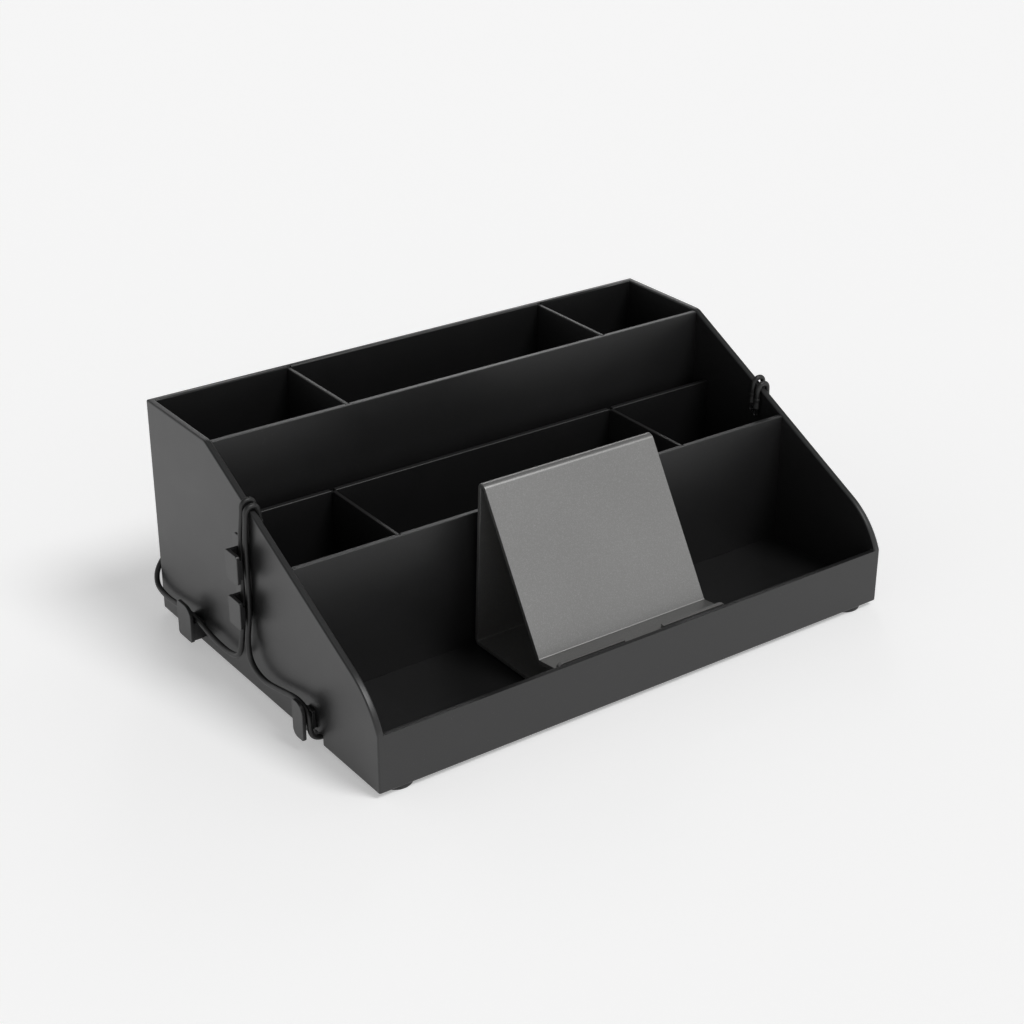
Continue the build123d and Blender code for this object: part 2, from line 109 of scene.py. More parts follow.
class Finish(NodeDesk):
    def __init__(self, name):
        self.material = bpy.data.materials.new(name)
        self.material.use_nodes = True
        super().__init__(self.material.node_tree)
        self.shader = self.tree.nodes["Principled BSDF"]

    def place(self, stretch=(1, 1, 1)):
        # points in the row frame, so that the grain runs on from piece to piece
        at = self.node("TexCoord", {}, {}, "Object")
        return self.node("Mapping", {}, {"Vector": at, "Scale": stretch})

    def cloud(self, scale, detail=3.0, stretch=(1, 1, 1), rough=0.55):
        where = self.place(stretch)
        return self.node("TexNoise", {}, {"Vector": where, "Scale": scale, "Detail": detail,
                                          "Roughness": rough})

    def ramp(self, wire, *stops):
        return self.node("ValToRGB", {"stops": stops}, {"Fac": wire})

    def blend(self, share, first, second):
        return self.node("Mix", {"data_type": "RGBA"}, {0: share, 6: first, 7: second}, 2)

    def bump(self, height, depth, strength=1.0):
        return self.node("Bump", {}, {"Height": height, "Distance": depth, "Strength": strength})

    def set(self, **sockets):
        for name, value in sockets.items():
            self.feed(self.shader.inputs[name.replace("_", " ")], value)
        return self.material


def shade(tone, tint=(1.0, 1.0, 1.0)):
    return (tone * tint[0], tone * tint[1], tone * tint[2], 1)


def mouldedBlack(name, look):
    # satin moulded plastic: faint flow marks, fine tool texture, a few light rubs and dust
    finish = Finish(name)
    flow = finish.cloud(look["flowScale"], 3.0, (1, 1, 1.6))
    mottle = finish.cloud(look["mottleScale"], 4.0)
    grain = finish.cloud(look["grainScale"], 2.0)
    rub = finish.ramp(finish.cloud(look["rubScale"], 2.0, (1, 0.35, 1)), (0.56, 0.0), (0.74, 1.0))
    hair = finish.ramp(finish.cloud(look["hairScale"], 1.0, (1, 0.03, 0.4)), (0.70, 0.0), (0.76, 1.0))
    speck = finish.cloud(look["dustScale"], 1.0).above(look["dustLevel"])
    deep = shade(look["tone"] * 0.86, look["tint"])
    pale = shade(look["tone"] * 1.16, look["tint"])
    colour = finish.blend(flow * 0.6 + mottle * 0.4, deep, pale)
    colour = finish.blend(hair * rub * look["scratch"], colour, shade(look["tone"] * 4.5))
    colour = finish.blend(speck * look["dust"], colour, shade(look["dustTone"]))
    roughness = look["roughness"] + (flow - 0.5) * 0.10 + (mottle - 0.5) * 0.06 - rub * 0.03
    relief = finish.bump(grain + hair * rub * -0.6, look["grainDepth"], 0.6)
    return finish.set(Base_Color=colour, Roughness=roughness, Normal=relief, IOR=look["ior"])


trayLook = {"tone": 0.0095, "tint": (1.0, 1.0, 1.03), "roughness": 0.38, "ior": 1.58, "flowScale": 7.0,
            "mottleScale": 55.0, "grainScale": 1500.0, "grainDepth": 0.00004, "scratch": 0.35,
            "rubScale": 38, "hairScale": 520, "dust": 0.25, "dustScale": 1350, "dustLevel": 0.77,
            "dustTone": 0.16}
dividerLook = dict(trayLook, tone=0.0090, roughness=0.42)
clipLook = dict(trayLook, tone=0.010, roughness=0.36, grainScale=2200.0, grainDepth=0.00002, dust=0.15)


def powderCoat(name, look):
    # baked powder on sheet steel: orange peel with a fine metallic fleck
    finish = Finish(name)
    wide = finish.cloud(9.0, 2.0)
    peel = finish.cloud(look["peelScale"], 2.0)
    fleck = finish.node("TexVoronoi", {}, {"Vector": finish.place(), "Scale": look["fleckScale"]}, "Color")
    sparkle = finish.ramp(fleck, (0.55, 0.0), (0.95, 1.0))
    deep = shade(look["tone"] * 0.93, look["tint"])
    pale = shade(look["tone"] * 1.08, look["tint"])
    colour = finish.blend(wide, deep, pale)
    colour = finish.blend(sparkle * look["fleck"], colour, shade(look["tone"] * 2.0))
    roughness = look["roughness"] + (wide - 0.5) * 0.08 + (peel - 0.5) * 0.05
    relief = finish.bump(peel, look["peelDepth"], 0.5)
    return finish.set(Base_Color=colour, Roughness=roughness, Normal=relief, Metallic=look["metallic"])


standLook = {"tone": 0.26, "tint": (1.0, 0.995, 0.98), "roughness": 0.40, "metallic": 0.8,
             "peelScale": 900.0, "peelDepth": 0.00003, "fleck": 0.25, "fleckScale": 2600.0}
angleLook = dict(standLook, tone=0.045, metallic=0.3, roughness=0.5, peelScale=700.0)


def rubber(name, look):
    # matte rubber or cable jacket, with a bloom that greys the high spots
    finish = Finish(name)
    bloom = finish.cloud(look["bloomScale"], 4.0)
    grain = finish.cloud(look["grainScale"], 3.0)
    colour = finish.blend(bloom, shade(look["tone"] * 0.8), shade(look["tone"] * 1.3))
    roughness = look["roughness"] + (bloom - 0.5) * 0.14
    relief = finish.bump(grain, look["grainDepth"], 0.7)
    return finish.set(Base_Color=colour, Roughness=roughness, Normal=relief, IOR=1.52)


leadLook = {"tone": 0.007, "roughness": 0.44, "bloomScale": 60.0, "grainScale": 1800.0,
            "grainDepth": 0.00003}
footLook = {"tone": 0.020, "roughness": 0.72, "bloomScale": 90.0, "grainScale": 1300.0,
            "grainDepth": 0.00008}


def foamTape(name, look):
    # closed-cell foam: small round cells cut open along the edges, with painted shade darkening each cell's
    # hollow
    finish = Finish(name)
    cells = finish.node("TexVoronoi", {"feature": "F1"},
                        {"Vector": finish.place(), "Scale": look["cellScale"]}, "Distance")
    pits = finish.ramp(cells, (0.1, 0.0), (0.6, 1.0))
    # painted shade: the colour goes dark in the middle of each cell pit and pale at its rim
    colour = finish.blend(pits, shade(look["tone"] * 0.5), shade(look["tone"] * 1.4))
    relief = finish.bump(pits, look["cellDepth"], 0.9)
    return finish.set(Base_Color=colour, Roughness=0.9 - pits * 0.08, Normal=relief)


foamLook = {"tone": 0.022, "cellScale": 1600.0, "cellDepth": 0.00015}


def bareMetal(name, look):
    # plated metal with turning marks and a little tarnish
    finish = Finish(name)
    marks = finish.cloud(look["markScale"], 2.0, look["stretch"])
    tarnish = finish.cloud(look["tarnishScale"], 4.0)
    colour = finish.blend(finish.ramp(tarnish, (0.45, 0.0), (0.75, 1.0)), look["bright"], look["dull"])
    roughness = look["roughness"] + (marks - 0.5) * 0.18 + (tarnish - 0.5) * 0.12
    relief = finish.bump(marks, look["markDepth"], 0.5)
    return finish.set(Base_Color=colour, Roughness=roughness, Normal=relief, Metallic=1.0)


barrelLook = {"bright": (0.80, 0.80, 0.82, 1), "dull": (0.62, 0.61, 0.60, 1), "roughness": 0.16,
              "markScale": 900.0, "markDepth": 0.00002, "stretch": (0.2, 0.2, 3.0), "tarnishScale": 240.0}
screwLook = dict(barrelLook, bright=(0.60, 0.61, 0.63, 1), dull=(0.42, 0.41, 0.38, 1), roughness=0.34,
                 markScale=1400.0, stretch=(1.0, 1.0, 0.3))

trayBlack = mouldedBlack("trayBlack", trayLook)
dividerBlack = mouldedBlack("dividerBlack", dividerLook)
clipBlack = mouldedBlack("clipBlack", clipLook)
standGrey = powderCoat("standPowder", standLook)
anglePowder = powderCoat("anglePowder", angleLook)
leadJacket = rubber("leadJacket", leadLook)
footRubber = rubber("footRubber", footLook)
padFoam = foamTape("padFoam", foamLook)
barrelPlate = bareMetal("barrelPlate", barrelLook)
screwZinc = bareMetal("screwZinc", screwLook)
print("finishes: ten materials mixed")


# mesh tools

def welded(*names):
    # one mesh of the named CAD pieces, with flat faces made whole again
    bm = bmesh.new()
    for name in names:
        bm.from_mesh(nodes[name].data)
    bmesh.ops.remove_doubles(bm, verts=bm.verts, dist=2e-6)
    flatten(bm)
    return bm


def flatten(bm):
    bmesh.ops.dissolve_limit(bm, angle_limit=math.radians(0.4), verts=bm.verts, edges=bm.edges)


def sharpEdges(bm, keep=None, angle=28):
    limit = math.radians(angle)
    return [e for e in bm.edges
            if len(e.link_faces) == 2 and e.calc_face_angle(0) > limit and (keep is None or keep(e))]


def roundEdges(bm, edges, radius, segments=3):
    bmesh.ops.bevel(bm, geom=edges, offset=radius, offset_type="OFFSET", segments=segments, profile=0.5,
                    affect="EDGES", clamp_overlap=False)
    bmesh.ops.remove_doubles(bm, verts=bm.verts, dist=1e-6)


def makePiece(bm, name, body, material, slot, *stands):
    bmesh.ops.recalc_face_normals(bm, faces=bm.faces)
    mesh = bpy.data.meshes.new(name)
    for face in bm.faces:
        face.smooth = True
    bm.to_mesh(mesh)
    bm.free()
    mesh.set_sharp_from_angle(angle=math.radians(40))
    mesh.materials.append(material)
    piece = bpy.data.objects.new(name, mesh)
    bpy.context.scene.collection.objects.link(piece)
    normals = piece.modifiers.new("evenNormals", "WEIGHTED_NORMAL")
    normals.keep_sharp = True
    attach(piece, body)
    if stands:
        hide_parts(*stands)
    return piece


def softened(node, name, body, material, slot, radius, segments=3, keep=None):
    # the CAD piece again with its edges rounded
    bm = welded(node)
    roundEdges(bm, sharpEdges(bm, keep), radius * mm, segments)
    return makePiece(bm, name, body, material, slot, node)


def lathe(profile, steps=48):
    # a profile of (radius, height) turned about Z; a radius of 0 closes an end
    bm = bmesh.new()
    rings = []
    for radius, height in profile:
        if radius == 0:
            rings.append([bm.verts.new((0, 0, height))])
        else:
            rings.append([bm.verts.new((radius * math.cos(2 * math.pi * k / steps),
                                        radius * math.sin(2 * math.pi * k / steps), height))
                          for k in range(steps)])
    for low, high in zip(rings, rings[1:]):
        for k in range(steps):
            a, b = low[k % len(low)], low[(k + 1) % len(low)]
            c, d = high[(k + 1) % len(high)], high[k % len(high)]
            corners = [v for i, v in enumerate((a, b, c, d)) if v not in (a, b, c, d)[:i]]
            if len(corners) > 2:
                bm.faces.new(corners)
    return bm


def arc(centre, radius, start, end, steps=6):
    # points of an arc as (radius, height) pairs, angles in degrees
    points = []
    for k in range(steps + 1):
        a = math.radians(start + (end - start) * k / steps)
        points.append((centre[0] + radius * math.cos(a), centre[1] + radius * math.sin(a)))
    return points


def unionOf(parts):
    # joins closed meshes that touch or overlap into one closed skin
    objects = []
    for bm in parts:
        mesh = bpy.data.meshes.new("part")
        bm.to_mesh(mesh)
        bm.free()
        objects.append(bpy.data.objects.new("part", mesh))
        bpy.context.scene.collection.objects.link(objects[-1])
    for other in objects[1:]:
        join = objects[0].modifiers.new("join", "BOOLEAN")
        join.operation = "UNION"
        join.solver = "EXACT"
        join.object = other
    bpy.context.view_layer.update()
    seen = objects[0].evaluated_get(bpy.context.evaluated_depsgraph_get())
    bm = bmesh.new()
    bm.from_mesh(seen.to_mesh())
    for item in objects:
        mesh = item.data
        bpy.data.objects.remove(item)
        bpy.data.meshes.remove(mesh)
    bmesh.ops.remove_doubles(bm, verts=bm.verts, dist=4e-6)
    flatten(bm)
    return bm


def moved(bm, offset):
    bmesh.ops.translate(bm, vec=Vector(offset), verts=bm.verts)
    return bm


# the tray's four outer panels are one skin with rounded edges, parted at the corners

shellLook = {"edge": 1.0, "edgeSteps": 4, "sideT": 4.0, "frontT": 3.5, "backT": 4.0, "grooveDepth": 1.2,
             "keptBehind": 20.0}  # how far behind its inner face a panel's cut-off plane lies


def outerPanels(look):
    low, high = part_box("left_side_panel")[0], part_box("right_side_panel")[1]
    innerX = high.x - look["sideT"] * mm
    grooveEnd = innerX + look["grooveDepth"] * mm
    innerBack = high.y - look["backT"] * mm
    innerFront = low.y + look["frontT"] * mm
    kept = look["keptBehind"] * mm
    hair = 1e-5
    shell = unionOf([welded(n) for n in ("left_side_panel", "front_wall", "right_side_panel", "back_panel")])

    def inGroove(face):
        at = face.calc_center_median()
        if innerX + hair < abs(at.x) < grooveEnd + hair:
            return innerFront < at.y < innerBack - hair
        grooveBack = innerBack + look["grooveDepth"] * mm
        return innerBack + hair < at.y < grooveBack + hair and abs(at.x) < innerX

    grooves = {f.index for f in shell.faces if inGroove(f)}
    roundEdges(shell, sharpEdges(shell, lambda e: not any(f.index in grooves for f in e.link_faces)),
               look["edge"] * mm, look["edgeSteps"])
    corners = {
        "frontLeft": ((low.x, low.y), (-innerX, innerFront)),
        "frontRight": ((high.x, low.y), (innerX, innerFront)),
        "backLeft": ((low.x, high.y), (-innerX, innerBack)),
        "backRight": ((high.x, high.y), (innerX, innerBack)),
    }

    def trim(bm, point, normal):
        # throws away what lies on the normal's side of the plane
        return bmesh.ops.bisect_plane(bm, geom=bm.verts[:] + bm.edges[:] + bm.faces[:], dist=1e-7,
                                      plane_co=point, plane_no=normal, clear_outer=True)

    def cut(bm, corner, away):
        # keeps the side of a corner's mitre plane that lies away from the point given
        (x0, y0), (x1, y1) = corners[corner]
        normal = Vector((y1 - y0, x0 - x1, 0)).normalized()
        if normal.dot(Vector((away[0] - x0, away[1] - y0, 0))) < 0:
            normal.negate()
        done = trim(bm, (x0, y0, 0), normal)
        rim = [g for g in done["geom_cut"] if isinstance(g, bmesh.types.BMEdge)]
        bmesh.ops.holes_fill(bm, edges=rim, sides=0)

    middleY = (low.y + high.y) / 2
    wide = {
        "leftSidePanel": (("frontLeft", (0, low.y)), ("backLeft", (0, high.y))),
        "rightSidePanel": (("frontRight", (0, low.y)), ("backRight", (0, high.y))),
        "frontWall": (("frontLeft", (low.x, middleY)), ("frontRight", (high.x, middleY))),
        "backPanel": (("backLeft", (low.x, middleY)), ("backRight", (high.x, middleY))),
    }
    halves = {"leftSidePanel": (-1, 0), "rightSidePanel": (1, 0), "frontWall": (0, -1), "backPanel": (0, 1)}
    for name, cuts in wide.items():
        bm = shell.copy()
        sx, sy = halves[name]
        if sx:  # first throws away the far half, then the corners
            trim(bm, (sx * (innerX - kept), 0, 0), (-sx, 0, 0))
        else:
            trim(bm, (0, innerFront + kept if sy < 0 else innerBack - kept, 0), (0, -sy, 0))
        for corner, away in cuts:
            cut(bm, corner, away)
        node = "".join("_" + c.lower() if c.isupper() else c for c in name)
        makePiece(bm, name, "tray", trayBlack, "body_plastic", node)
    shell.free()


outerPanels(shellLook)
print("shell: four outer panels rounded")


# floor and partitions

partitionLook = {"edge": 0.4, "steps": 3}


def topEdges(level):
    # picks the edges that lie along a panel's top
    return lambda e: min(v.co.z for v in e.verts) > level


for node, name in (("rear_partition", "rearPartition"), ("middle_partition", "middlePartition"),
                   ("front_partition", "frontPartition")):
    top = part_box(node)[1].z
    softened(node, name, "tray", trayBlack, "body_plastic", partitionLook["edge"], partitionLook["steps"],
             topEdges(top - 0.6 * mm))
softened("floor_panel", "floorPanel", "tray", trayBlack, "body_plastic", 0.2, 2)
print("partitions: three cross panels and the floor")


# lift-out dividers

dividerShape = {"edge": 0.5, "steps": 3}
for node, name in (("rear_left_divider", "rearLeftDivider"), ("rear_right_divider", "rearRightDivider"),
                   ("middle_left_divider", "middleLeftDivider"), ("bay_divider", "bayDivider")):
    softened(node, name, node, dividerBlack, "divider_plastic", dividerShape["edge"], dividerShape["steps"])
print("dividers: four sheets rounded")


# phone stand

standShape = {
    "width": 117.0, "sheet": 2.5, "insideR": 0.9, "foldSteps": 7,
    "toeY": -106.0, "baseZ": 13.0, "legFootY": -36.4, "crown": (-40.8, 117.6), "brow": (-47.0, 114.5),
    "heel": (-97.6, 31.2), "ledge": 15.0, "ledgeRise": 7.0, "lip": 4.2, "lipLean": 0.4,
    "gap": 27.0, "gapInset": 1.5, "corner": 3.0, "cornerSteps": 6, "edge": 0.4,
}


def standPath(shape):
    # outer corners of the bent sheet in y and z, from the flange's toe to the lip
    rise = math.radians(shape["ledgeRise"])
    heel = shape["heel"]
    ledgeEnd = (heel[0] - shape["ledge"] * math.cos(rise), heel[1] + shape["ledge"] * math.sin(rise))
    lipEnd = (ledgeEnd[0] - shape["lipLean"], ledgeEnd[1] + shape["lip"])
    return [(shape["toeY"], shape["baseZ"]), (shape["legFootY"], shape["baseZ"]), shape["crown"],
            shape["brow"], heel, ledgeEnd, lipEnd]


def leftOf(step):
    return Vector((-step.y, step.x))


def bentLine(shape):
    # the sheet's outer line with an arc at each fold, as (point, way to the other face) pairs
    path = [Vector(c) for c in standPath(shape)]
    line = [(path[0], leftOf((path[1] - path[0]).normalized()))]
    for i in range(1, len(path) - 1):
        before = (path[i] - path[i - 1]).normalized()
        after = (path[i + 1] - path[i]).normalized()
        turn = before.angle_signed(after) * -1  # positive to the left
        radius = shape["insideR"] + (shape["sheet"] if turn > 0 else 0)
        back = radius * math.tan(abs(turn) / 2)
        start = path[i] - before * back
        centre = start + leftOf(before) * math.copysign(radius, turn)
        for k in range(shape["foldSteps"] + 1):
            angle = turn * k / shape["foldSteps"]
            spoke = start - centre
            spoke.rotate(Matrix.Rotation(angle, 2))
            line.append((centre + spoke, leftOf(Matrix.Rotation(angle, 2) @ before)))
    line.append((path[-1], leftOf((path[-1] - path[-2]).normalized())))
    return line


def standMesh(shape):
    line = bentLine(shape)
    half = shape["width"] / 2
    reach = [0.0]
    for (p, _), (q, _) in zip(line, line[1:]):
        reach.append(reach[-1] + (q - p).length)
    total = reach[-1]
    gapStart = total - shape["ledge"] - shape["lip"] + shape["gapInset"]

    def halfWidth(s):
        # the sheet's corners at the toe and at the lips are rounded
        left = min(s, total - s)
        if left >= shape["corner"]:
            return half
        inset = shape["corner"] - left
        return half - shape["corner"] + math.sqrt(shape["corner"] ** 2 - inset ** 2)

    steps = shape["cornerSteps"]
    cornerRows = [shape["corner"] * k / steps for k in range(1, steps + 1)]
    stations = sorted(set(round(s, 4) for s in reach + cornerRows + [total - row for row in cornerRows]
                          + [gapStart]))
    rows = []
    for s in stations:
        i = max(k for k in range(len(reach)) if reach[k] <= s + 1e-4)
        i = min(i, len(reach) - 2)
        share = (s - reach[i]) / (reach[i + 1] - reach[i])
        point = line[i][0].lerp(line[i + 1][0], share)
        way = line[i][1].lerp(line[i + 1][1], share).normalized()
        rows.append((s, point, way, halfWidth(s)))

    bm = bmesh.new()
    slit = shape["gap"] / 2
    grid = []
    for s, point, way, wide in rows:
        columns = (-wide, -slit, slit, wide)
        outer = [bm.verts.new((x * mm, (point.x + rowShift) * mm, point.y * mm)) for x in columns]
        inside = point + way * shape["sheet"]
        inner = [bm.verts.new((x * mm, (inside.x + rowShift) * mm, inside.y * mm)) for x in columns]
        grid.append((s, outer, inner))

    def isOpen(s, k):
        # true in the gap between the two lips
        return k == 1 and s >= gapStart - 1e-6

    for (s, o1, i1), (t, o2, i2) in zip(grid, grid[1:]):
        for k in range(3):
            if isOpen(s, k):
                continue
            bm.faces.new((o1[k], o1[k + 1], o2[k + 1], o2[k]))
            bm.faces.new((i1[k + 1], i1[k], i2[k], i2[k + 1]))
        bm.faces.new((o1[0], o2[0], i2[0], i1[0]))
        bm.faces.new((o2[3], o1[3], i1[3], i2[3]))
        if isOpen(s, 1):
            bm.faces.new((o1[1], i1[1], i2[1], o2[1]))
            bm.faces.new((o2[2], i2[2], i1[2], o1[2]))
        elif isOpen(t, 1):
            bm.faces.new((o2[1], o2[2], i2[2], i2[1]))
    for (s, o, i), skip in ((grid[0], False), (grid[-1], True)):
        for k in range(3):
            if not (skip and k == 1):
                bm.faces.new((o[k], i[k], i[k + 1], o[k + 1]))
    bmesh.ops.recalc_face_normals(bm, faces=bm.faces)
    flatten(bm)
    roundEdges(bm, sharpEdges(bm, lambda e: e.is_convex, 50), shape["edge"] * mm, 2)
    return bm


makePiece(standMesh(standShape), "phoneStand", "stand", standGrey, "stand_steel", "phone_stand")
softened("stand_strips", "standStrips", "stand", footRubber, "foot_rubber", 0.3, 2)
print("stand: bent sheet and its rubber strips")


# clips, pads and saddles

clipShape = {
    "edge": 0.4, "edgeSteps": 3,
    "plateOut": (7.5, 9.7), "baseOut": (0.8, 2.3), "webOut": (1.3, 9.2),  # distances from the panel's face
    "cornerPlateUp": (0, 22), "smallR": 0.7,
}


def clipParts(kind, look):
    # slabs of one clip as (out, along, up, corner radii), measured from its own lowest corner;
    # the radii are for the front low, rear low, rear high and front high corners
    plate, base, web = look["plateOut"], look["baseOut"], look["webOut"]
    small = (look["smallR"],) * 4
    if kind == "twin":
        parts = [(base, (11, 17.5), (0, 52), (0.7, 3, 3, 0.7))]
        for low, high in ((0.5, 17.5), (28, 45.5)):
            parts.append((plate, (0, 13), (low, high), (2, 0.8, 0.8, 2)))
            parts.append((web, (11, 12.9), (low + 0.1, high - 0.1), small))
            parts.append(((6.5, 8.7), (0.05, 1.25), (low + 3, high - 3), (0.5,) * 4))
        return parts
    if kind == "rear":
        return [(plate, (0, 16), look["cornerPlateUp"], (1.5, 2.0, 2.0, 6.5)),
                ((base[0], web[1]), (1.5, 15), (0.05, 11.8), (1, 1, 1, 1))]
    if kind == "front":
        return [(plate, (0, 10.8), look["cornerPlateUp"], (1.5, 4.5, 2.0, 6.5)),
                (base, (2.8, 10.7), (3.2, 15), (1, 1, 1, 1)),
                (web, (8.8, 10.7), (3.2, 11.5), small)]
    return [(plate, (0, 16), (0, 18), (1, 1, 5, 5)),
            (base, (0.05, 15.95), (0.05, 17), (1, 1, 2, 2)),
            (web, (1.5, 14.5), (0.1, 2.2), small)]


def ovalRing(along, up, radii, inset, steps=5):
    # a rectangle with rounded corners, drawn in by the inset
    low, high = (along[0] + inset, up[0] + inset), (along[1] - inset, up[1] - inset)
    ring = []
    for k, radius in enumerate(radii):
        r = max(radius - inset, 0.05)
        a = low[0] + r if k in (0, 3) else high[0] - r
        u = low[1] + r if k in (0, 1) else high[1] - r
        ring += arc((a, u), r, 180 + 90 * k, 270 + 90 * k, steps)
    return ring


def roundedSlab(part, look, frameOf):
    out, along, up, radii = part
    edge, steps = look["edge"], look["edgeSteps"]
    levels = []
    for k in range(steps + 1):
        a = math.pi / 2 * k / steps
        levels.append((edge * (1 - math.sin(a)), edge * (1 - math.cos(a))))
    sides = [(inset, out[0] + deep) for inset, deep in levels]
    sides += [(inset, out[1] - deep) for inset, deep in reversed(levels)]
    bm = bmesh.new()
    rings = [[bm.verts.new(frameOf @ Vector((o * mm, a * mm, u * mm)))
              for a, u in ovalRing(along, up, radii, inset)] for inset, o in sides]
    for low, high in zip(rings, rings[1:]):
        for k in range(len(low)):
            j = (k + 1) % len(low)
            bm.faces.new((low[k], low[j], high[j], high[k]))
    bm.faces.new(rings[0][::-1])
    bm.faces.new(rings[-1])
    bmesh.ops.recalc_face_normals(bm, faces=bm.faces)
    return bm


def makeClip(node, look):
    side, kind = node.split("_")[:2]
    low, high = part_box(node)
    if side == "back":
        kind = "back"
        face = Vector((low.x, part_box("back_panel")[1].y, low.z))
        axes = ((0, 1, 0), (1, 0, 0), (0, 0, 1))
    elif side == "left":
        face = Vector((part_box("left_side_panel")[0].x, low.y, low.z))
        axes = ((-1, 0, 0), (0, 1, 0), (0, 0, 1))
    else:
        face = Vector((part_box("right_side_panel")[1].x, low.y, low.z))
        axes = ((1, 0, 0), (0, 1, 0), (0, 0, 1))
    frameOf = Matrix.Translation(face) @ Matrix(axes).transposed().to_4x4()
    bm = unionOf([roundedSlab(part, look, frameOf) for part in clipParts(kind, look)])
    name = "".join(w.capitalize() if i else w for i, w in enumerate(node.split("_")))
    makePiece(bm, name, "tray", clipBlack, "clip_plastic", node)


def boxEdge(edge):
    # an edge between two faces that are square to the axes, so not round a bore
    return all(max(abs(c) for c in face.normal) > 0.9999 for face in edge.link_faces)


for node in [n for n in nodes if n.endswith("_clip")]:
    makeClip(node, clipShape)
for node, name in (("left_clip_pads", "leftClipPads"), ("right_clip_pads", "rightClipPads"),
                   ("back_clip_pads", "backClipPads")):
    softened(node, name, "tray", padFoam, "pad_foam", 0.2, 2)
softened("under_saddles", "underSaddles", "tray", clipBlack, "clip_plastic", 0.3, 2, boxEdge)
print("clips: hooks, pads and saddles")


# base angles and screws

softened("left_base_angle", "leftBaseAngle", "tray", anglePowder, "angle_steel", 0.3, 2)
softened("right_base_angle", "rightBaseAngle", "tray", anglePowder, "angle_steel", 0.3, 2)
softened("base_screws", "baseScrews", "tray", screwZinc, "screw_steel", 0.12, 2)
print("base: angles and screws")


# feet

footShape = {"padR": 9.5, "padH": 2.8, "stemR": 6.5, "dishR": 5.5, "dish": 0.8, "top": 9.0, "ribs": 3}


def footMesh(shape):
    rim = [(0, shape["dish"]), (shape["dishR"] - 0.6, shape["dish"]), (shape["dishR"], 0.25),
           (shape["dishR"] + 0.25, 0.0)]
    step = (shape["padR"] - 1.4 - shape["dishR"] - 0.4) / shape["ribs"]
    for k in range(shape["ribs"]):  # fine grip rings round the dish
        r = shape["dishR"] + 0.4 + k * step
        rim += [(r + step * 0.35, 0.0), (r + step * 0.5, 0.22), (r + step * 0.65, 0.0)]
    rim += arc((shape["padR"] - 1.0, 1.0), 1.0, -90, 0, 6)
    rim += arc((shape["padR"] - 0.5, shape["padH"] - 0.5), 0.5, 0, 90, 4)
    rim += arc((shape["stemR"] + 0.5, shape["padH"] + 0.5), 0.5, 270, 180, 4)
    rim += [(shape["stemR"], shape["top"]), (0, shape["top"])]
    return lathe([(r * mm, z * mm) for r, z in rim], 64)


for node, name in (("foot_front_left", "footFrontLeft"), ("foot_front_right", "footFrontRight"),
                   ("foot_rear_left", "footRearLeft"), ("foot_rear_right", "footRearRight")):
    low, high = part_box(node)
    middle = (low + high) / 2
    makePiece(moved(footMesh(footShape), (middle.x, middle.y, low.z)), name, "tray", footRubber,
              "foot_rubber", node)
print("feet: four rubber feet turned")


# leads and their plugs

leadShape = {"diameter": 3.2, "smooth": 10, "round": 8}
clipX, strandX, riseX, tailX = 179.9, 177.3, 176.9, 168.95
backY = 124.9
tailLength = 9.0


def overEdge(y, z, strandY):
    # from a hanging end over a side panel's edge and down through the twin clip
    lean = strandY - y
    return [(tailX, y, z - tailLength), (tailX, y, z), (riseX, y, z),
            (riseX + 0.1, y + 0.15 * lean, z - 8.0), (strandX, strandY, z - 23.0),
            (strandX, strandY, 52.0), (clipX, strandY, 34.0)]


roundBack = [(clipX - 0.3, 100.0, 18.5), (178.9, 112.0, 18.2), (178.4, 119.5, 20.5), (175.8, 123.4, 27.5),
             (168.0, backY - 0.2, 36.0), (150.0, backY, 44.0), (125.0, backY, 48.0),
             (100.0, backY, 48.0)]
rearLeftRun = [(clipX, 15.5, 20.5), (clipX, 29.5, 17.0), (clipX, 48.0, 17.8), (clipX, 65.0, 21.5),
               (clipX, 84.0, 21.0)]
rearRightRun = [(clipX, -3.8, 21.0), (clipX, 10.0, 17.0), (clipX, 30.0, 18.2), (clipX, 65.0, 21.5),
                (clipX, 84.0, 21.0)]
frontLeftRun = [(clipX, 2.0, 22.5), (clipX, -12.0, 18.2), (clipX, -32.0, 22.3), (clipX, -49.0, 26.0)]
frontRightRun = [(clipX, -17.3, 21.5), (clipX, -29.0, 19.0), (clipX, -49.0, 26.0)]
# the last point keeps the lead level in its straps
turnUnder = [(clipX, -60.0, 22.5), (clipX, -60.0, 6.0), (clipX - 16.5, -60.0, 6.0)]


def joined(left, right):
    return [(-x, y, z) for x, y, z in left] + right[::-1]


rearRoute = joined(overEdge(7.2, 118.2, 10.8) + rearLeftRun + roundBack,
                   overEdge(-9.6, 110.4, -8.5) + rearRightRun + roundBack)
frontRoute = joined(overEdge(3.2, 116.2, 5.3) + frontLeftRun + turnUnder,
                    overEdge(-13.6, 107.7, -14.4) + frontRightRun + turnUnder)


def layLead(route, name, node, shape):
    line = bpy.data.curves.new(name, "CURVE")
    line.dimensions = "3D"
    line.bevel_depth = shape["diameter"] / 2 * mm
    line.bevel_resolution = shape["round"]
    line.use_fill_caps = True
    spline = line.splines.new("NURBS")
    spline.points.add(len(route) - 1)
    for point, (x, y, z) in zip(spline.points, route):
        point.co = (x * mm, (y + rowShift) * mm, z * mm, 1)
    spline.order_u = 3
    spline.use_endpoint_u = True
    spline.resolution_u = shape["smooth"]
    line.materials.append(leadJacket)
    piece = bpy.data.objects.new(name, line)
    bpy.context.scene.collection.objects.link(piece)
    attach(piece, "tray")
    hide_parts(node)


layLead(rearRoute, "rearLead", "rear_lead", leadShape)
layLead(frontRoute, "frontLead", "front_lead", leadShape)

bootShape = {"radius": 1.95, "height": 7.0, "ribs": 4}
barrelShape = {"radius": 1.5, "height": 5.0, "wall": 0.35}


